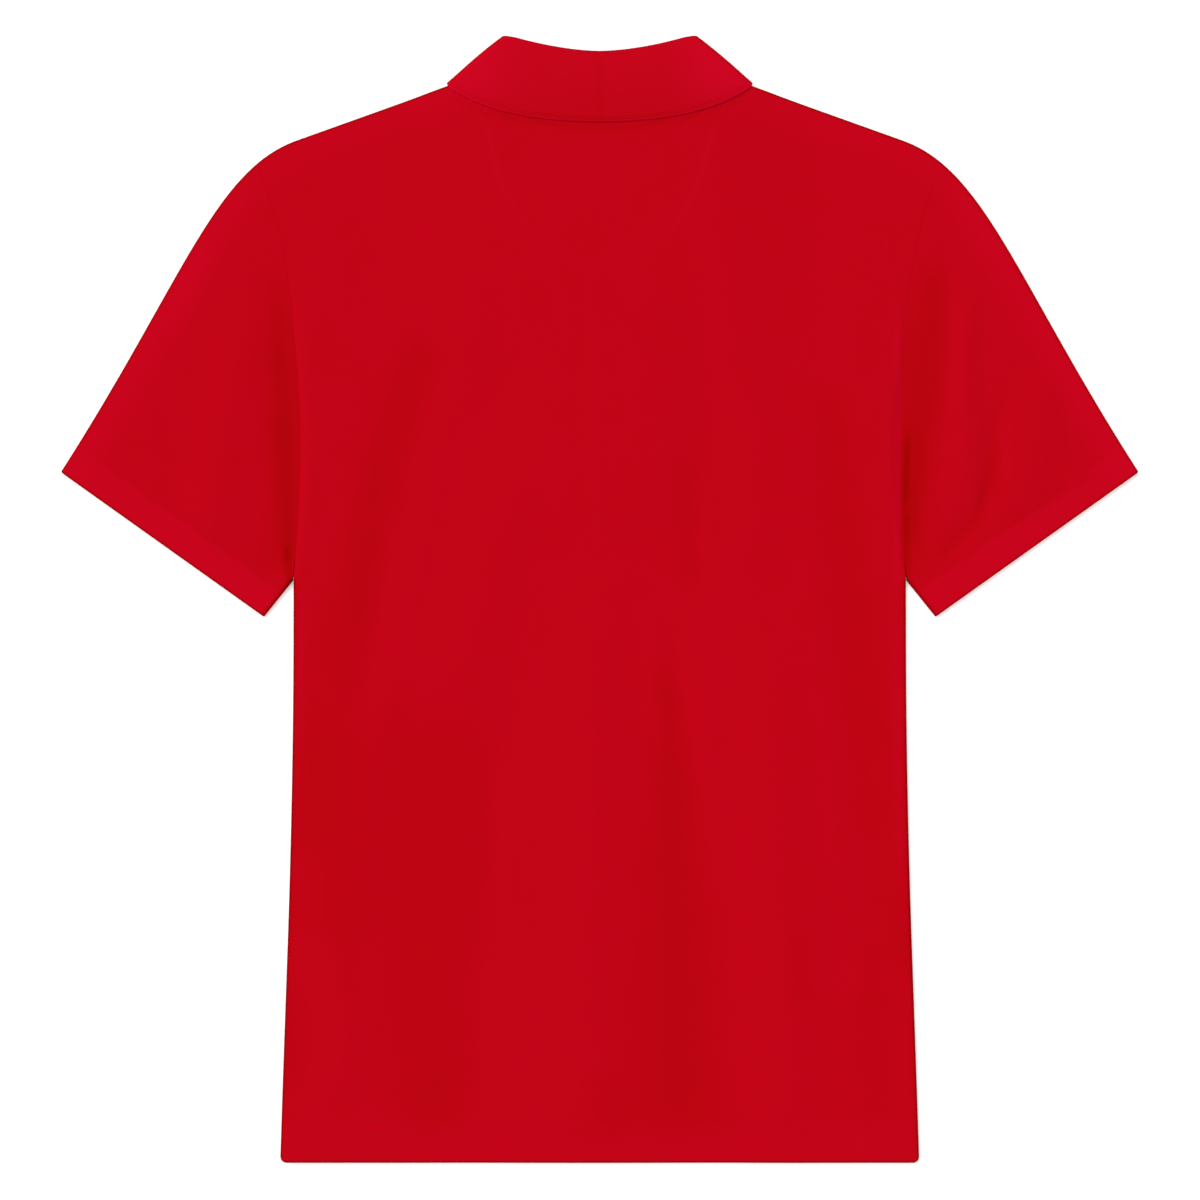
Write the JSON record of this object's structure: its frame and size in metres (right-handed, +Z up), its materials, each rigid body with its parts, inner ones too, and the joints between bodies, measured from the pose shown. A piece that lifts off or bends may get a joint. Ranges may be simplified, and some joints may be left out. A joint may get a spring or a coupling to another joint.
{
  "type": "polo shirt",
  "caption": "Short-sleeved polo shirt laid flat with its back up, folded collar, buttoned placket underneath.",
  "frame": {"origin": "middle of the shirt's outline, on the surface that it lies on", "axes": "+Z up from the surface, +Y from the hem towards the collar, +X to the shirt's own right side, which is the picture's right"},
  "size_m": [0.7208, 0.7539, 0.0109],
  "materials": {
    "pique": "fine red pique knit, matt",
    "collar_knit": "smooth red flat-knit collar, matt",
    "button": "dyed-to-match red plastic, slightly glossy"
  },
  "bodies": {
    "root": {"back": "pique", "front": "pique", "sleeve_left": "pique", "sleeve_right": "pique", "collar": "collar_knit", "half_moon": "pique", "placket_top": "pique", "placket_under": "pique", "button_1": "button", "button_2": "button", "button_3": "button"}
  },
  "joints": []
}
